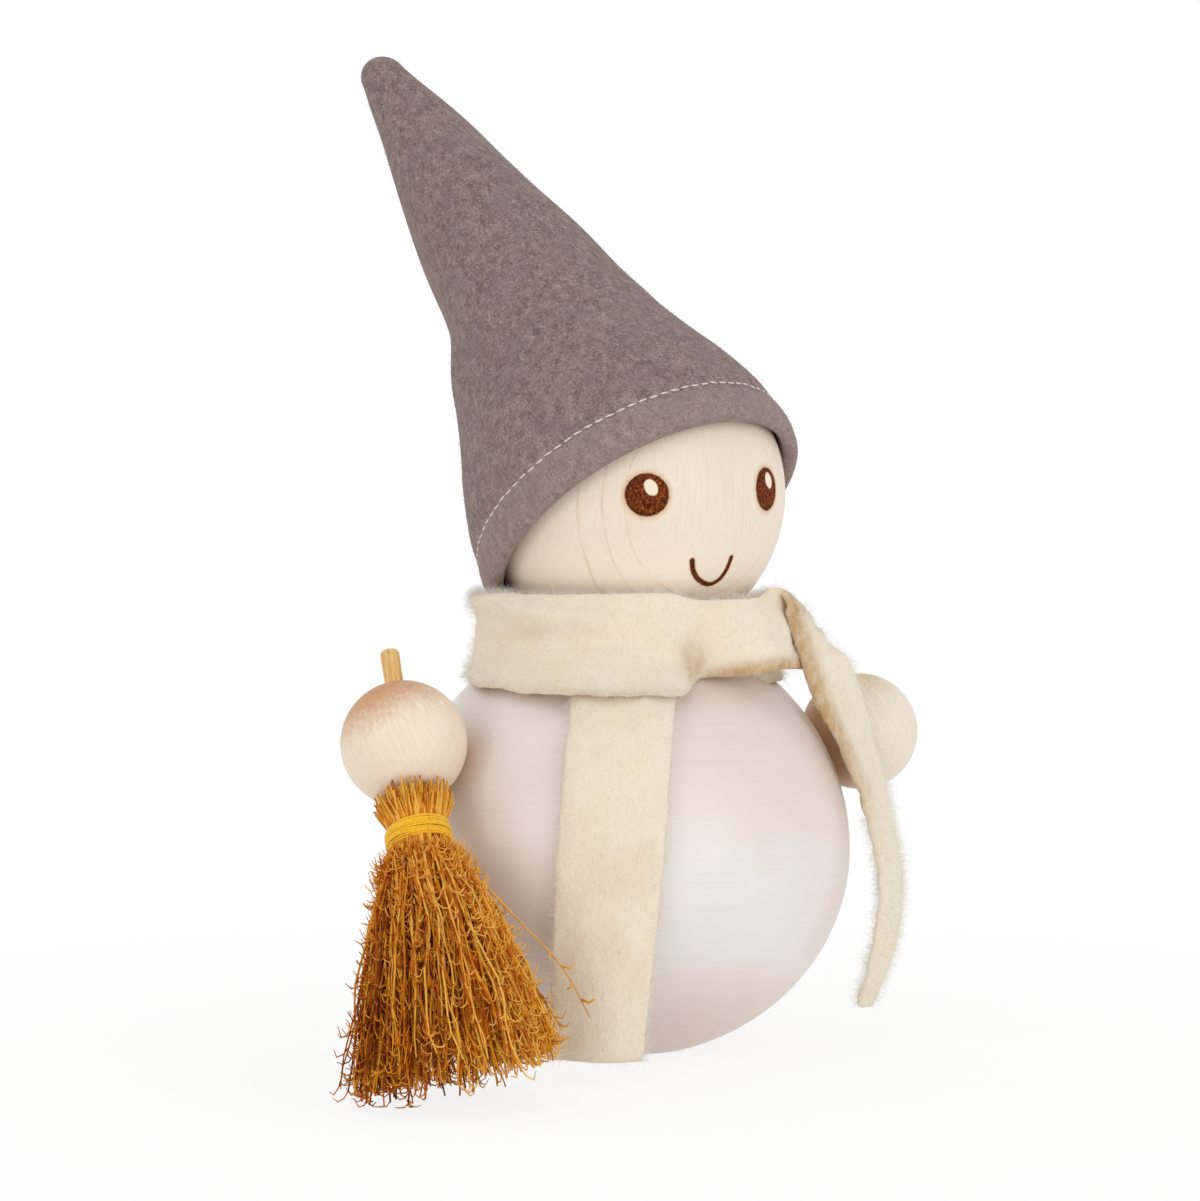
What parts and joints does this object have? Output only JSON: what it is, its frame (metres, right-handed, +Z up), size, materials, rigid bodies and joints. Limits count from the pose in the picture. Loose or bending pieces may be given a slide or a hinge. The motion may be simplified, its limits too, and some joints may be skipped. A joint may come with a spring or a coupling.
{
  "type": "wooden elf figure",
  "caption": "Standing turned wooden elf doll with a ball head and ball hands, a pointed felt hat that lifts off, a wool scarf and a small tied broom.",
  "frame": {"origin": "middle of the flat base that the figure stands on", "axes": "+Z up, -Y out of the front between the arms, +X towards the figure's left hand"},
  "size_m": [0.149, 0.1358, 0.2145],
  "materials": {
    "body_wood": "whitened, satin",
    "head_wood": "bare, sanded",
    "hand_wood": "bare, sanded",
    "dowel_wood": "bare",
    "felt": "pressed wool felt",
    "wool": "felted wool",
    "stick_wood": "bare",
    "tie_thread": "twisted thread",
    "bristle_fibre": "dry plant fibre"
  },
  "bodies": {
    "body": {"body": "body_wood", "neck_dowel": "dowel_wood", "right_arm_dowel": "dowel_wood", "left_arm_dowel": "dowel_wood", "scarf": "wool"},
    "head": {"head": "head_wood"},
    "hat": {"hat": "felt"},
    "left_hand": {"left_hand": "hand_wood"},
    "right_hand": {"right_hand": "hand_wood", "broom_handle": "stick_wood", "broom_tie": "tie_thread", "broom_bristles_1": "bristle_fibre", "broom_bristles_2": "bristle_fibre", "broom_bristles_3": "bristle_fibre", "broom_bristles_4": "bristle_fibre"}
  },
  "joints": [
    {"name": "head_turn", "type": "hinge", "parent": "body", "child": "head", "pos_m": [0, 0, 0.08429], "axis": [0, 0, 1], "continuous": true},
    {"name": "hat_lift", "type": "slide", "parent": "head", "child": "hat", "axis": [-0.1484, 0.5658, 0.8111], "range_m": [0, 0.08]},
    {"name": "left_hand_turn", "type": "hinge", "parent": "body", "child": "left_hand", "pos_m": [0.0541, -0.0076, 0.0643], "axis": [0.9109, -0.128, 0.3923], "continuous": true},
    {"name": "right_hand_turn", "type": "hinge", "parent": "body", "child": "right_hand", "pos_m": [-0.0541, -0.0076, 0.0643], "axis": [-0.9109, -0.128, 0.3923], "range_deg": [0, 90]}
  ]
}
